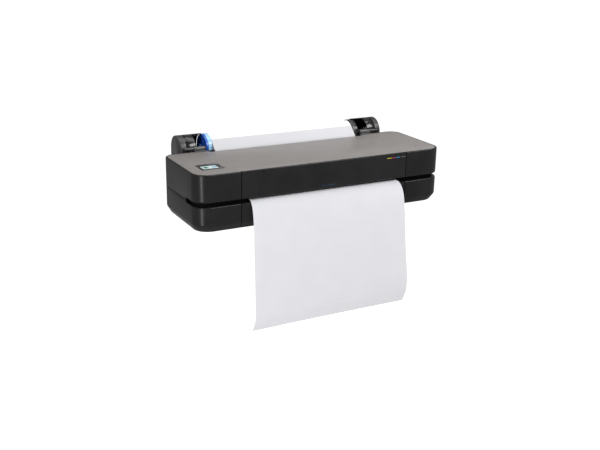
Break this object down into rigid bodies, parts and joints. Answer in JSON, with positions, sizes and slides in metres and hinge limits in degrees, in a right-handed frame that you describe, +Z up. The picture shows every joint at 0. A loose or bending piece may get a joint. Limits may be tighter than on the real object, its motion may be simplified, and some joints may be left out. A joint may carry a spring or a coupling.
{
  "type": "large format plotter",
  "caption": "Desktop wide-format roll-fed inkjet plotter with a hinged lid, moving print carriage, rear roll spindle and a blank sheet hanging from its front slot.",
  "frame": {"origin": "centre of the four stand holes, on the underside of the stand rails", "axes": "+X to the machine's right as seen from the front, +Y to the back, +Z up"},
  "size_m": [1.013, 0.5395, 0.652],
  "materials": {
    "case_black": "fine moulded texture, satin",
    "slot_black": "matt black",
    "plate_taupe": "satin warm grey",
    "holder_gloss": "gloss black",
    "grey_plastic": "satin dark grey",
    "screen": "lit display under clear cover",
    "bezel": "gloss black",
    "light_blue": "blue light guide",
    "marks": "printed colour marks",
    "flange_blue": "blue plastic",
    "paper": "uncoated white paper",
    "card": "brown card tube",
    "steel": "zinc plated",
    "dark_steel": "ground shaft",
    "rubber": "matt",
    "internal_plastic": "black engineering plastic",
    "acetal": "white acetal",
    "clear_film": "clear film with fine lines",
    "electronics": "green circuit board",
    "ink_yellow": "yellow tank",
    "ink_magenta": "magenta tank",
    "ink_cyan": "cyan tank",
    "ink_black": "black tank"
  },
  "bodies": {
    "chassis": {"carriage_beam": "steel", "cartridge_bay": "internal_plastic", "case_screws": "dark_steel", "drive_belt": "rubber", "drive_motors": "steel", "electronics": "electronics", "encoder_strip": "clear_film", "feet": "rubber", "front_beam": "steel", "guide_rod": "dark_steel", "hinge_barrels": "grey_plastic", "holder_end_caps": "holder_gloss", "lower_case": "case_black", "lower_front_panel": "case_black", "paper_sheet": "paper", "paper_web": "paper", "pinch_frame": "internal_plastic", "platen": "internal_plastic", "rear_cover": "case_black", "rear_sockets": "internal_plastic", "roll_holder_left": "holder_gloss", "roll_holder_right": "holder_gloss", "roll_tray": "case_black", "service_station": "internal_plastic", "side_plates": "steel", "slot_liner": "slot_black", "spindle_bushes": "acetal", "stand_rails": "steel", "upper_cover_left": "case_black", "upper_cover_right": "case_black"},
    "lid": {"top_plate": "plate_taupe", "lid_frame": "internal_plastic", "upper_front_panel": "case_black", "display_bezel": "bezel", "display_screen": "screen", "light_bar": "light_blue", "ink_marks": "marks", "hinge_pins": "dark_steel", "hinge_knuckles": "grey_plastic"},
    "power_key": {"power_button": "grey_plastic"},
    "carriage": {"carriage_body": "internal_plastic", "carriage_bushes": "acetal", "print_heads": "grey_plastic"},
    "belt_pulley": {"drive_pulley": "acetal"},
    "belt_idler": {"idler_pulley": "acetal"},
    "feed": {"feed_roller": "rubber", "feed_gear": "acetal"},
    "pinion": {"feed_pinion": "acetal"},
    "pinch": {"pinch_wheels": "rubber"},
    "exit": {"exit_roller": "rubber"},
    "stars": {"star_wheels": "steel"},
    "roll": {"roll_spindle": "internal_plastic", "flange_black": "holder_gloss", "flange_blue": "flange_blue", "roll_core": "card", "paper_roll": "paper"},
    "tank_yellow": {"ink_cartridge_yellow": "ink_yellow"},
    "tank_magenta": {"ink_cartridge_magenta": "ink_magenta"},
    "tank_cyan": {"ink_cartridge_cyan": "ink_cyan"},
    "tank_black": {"ink_cartridge_black": "ink_black"}
  },
  "joints": [
    {"name": "lid_hinge", "type": "hinge", "parent": "chassis", "child": "lid", "pos_m": [0, 0.17, 0.2355], "axis": [-1, 0, 0], "range_deg": [0, 55]},
    {"name": "power_button_press", "type": "slide", "parent": "lid", "child": "power_key", "axis": [0, 0, -1], "range_m": [0, 0.0006], "stiffness_N_per_m": 600, "springref_m": -0.0004},
    {"name": "carriage_slide", "type": "slide", "parent": "chassis", "child": "carriage", "axis": [1, 0, 0], "range_m": [-0.78, 0]},
    {"name": "drive_pulley_spin", "type": "hinge", "parent": "chassis", "child": "belt_pulley", "pos_m": [0.462, 0, 0.175], "axis": [0, 1, 0], "continuous": true},
    {"name": "idler_pulley_spin", "type": "hinge", "parent": "chassis", "child": "belt_idler", "pos_m": [-0.462, 0, 0.175], "axis": [0, 1, 0], "continuous": true},
    {"name": "feed_roller_spin", "type": "hinge", "parent": "chassis", "child": "feed", "pos_m": [0, 0.035, 0.1074], "axis": [1, 0, 0], "continuous": true},
    {"name": "feed_pinion_spin", "type": "hinge", "parent": "chassis", "child": "pinion", "pos_m": [0, 0.0725, 0.1074], "axis": [1, 0, 0], "continuous": true},
    {"name": "pinch_wheels_spin", "type": "hinge", "parent": "chassis", "child": "pinch", "pos_m": [0, 0.035, 0.1266], "axis": [1, 0, 0], "continuous": true},
    {"name": "exit_roller_spin", "type": "hinge", "parent": "chassis", "child": "exit", "pos_m": [0, -0.112, 0.1094], "axis": [1, 0, 0], "continuous": true},
    {"name": "star_wheels_spin", "type": "hinge", "parent": "chassis", "child": "stars", "pos_m": [0, -0.112, 0.1256], "axis": [1, 0, 0], "continuous": true},
    {"name": "roll_spin", "type": "hinge", "parent": "chassis", "child": "roll", "pos_m": [0, 0.22, 0.225], "axis": [1, 0, 0], "continuous": true},
    {"name": "cartridge_yellow_lift", "type": "slide", "parent": "chassis", "child": "tank_yellow", "axis": [0, 0, 1], "range_m": [0, 0.012]},
    {"name": "cartridge_magenta_lift", "type": "slide", "parent": "chassis", "child": "tank_magenta", "axis": [0, 0, 1], "range_m": [0, 0.012]},
    {"name": "cartridge_cyan_lift", "type": "slide", "parent": "chassis", "child": "tank_cyan", "axis": [0, 0, 1], "range_m": [0, 0.012]},
    {"name": "cartridge_black_lift", "type": "slide", "parent": "chassis", "child": "tank_black", "axis": [0, 0, 1], "range_m": [0, 0.012]}
  ],
  "couplings": [
    {"joint": "drive_pulley_spin", "follows": "carriage_slide", "rad_per_m": -125},
    {"joint": "idler_pulley_spin", "follows": "carriage_slide", "rad_per_m": -125},
    {"joint": "feed_pinion_spin", "follows": "feed_roller_spin", "ratio": -4},
    {"joint": "pinch_wheels_spin", "follows": "feed_roller_spin", "ratio": -2},
    {"joint": "exit_roller_spin", "follows": "feed_roller_spin", "ratio": 1.2},
    {"joint": "star_wheels_spin", "follows": "feed_roller_spin", "ratio": -2.4},
    {"joint": "roll_spin", "follows": "feed_roller_spin", "ratio": 0.24}
  ]
}
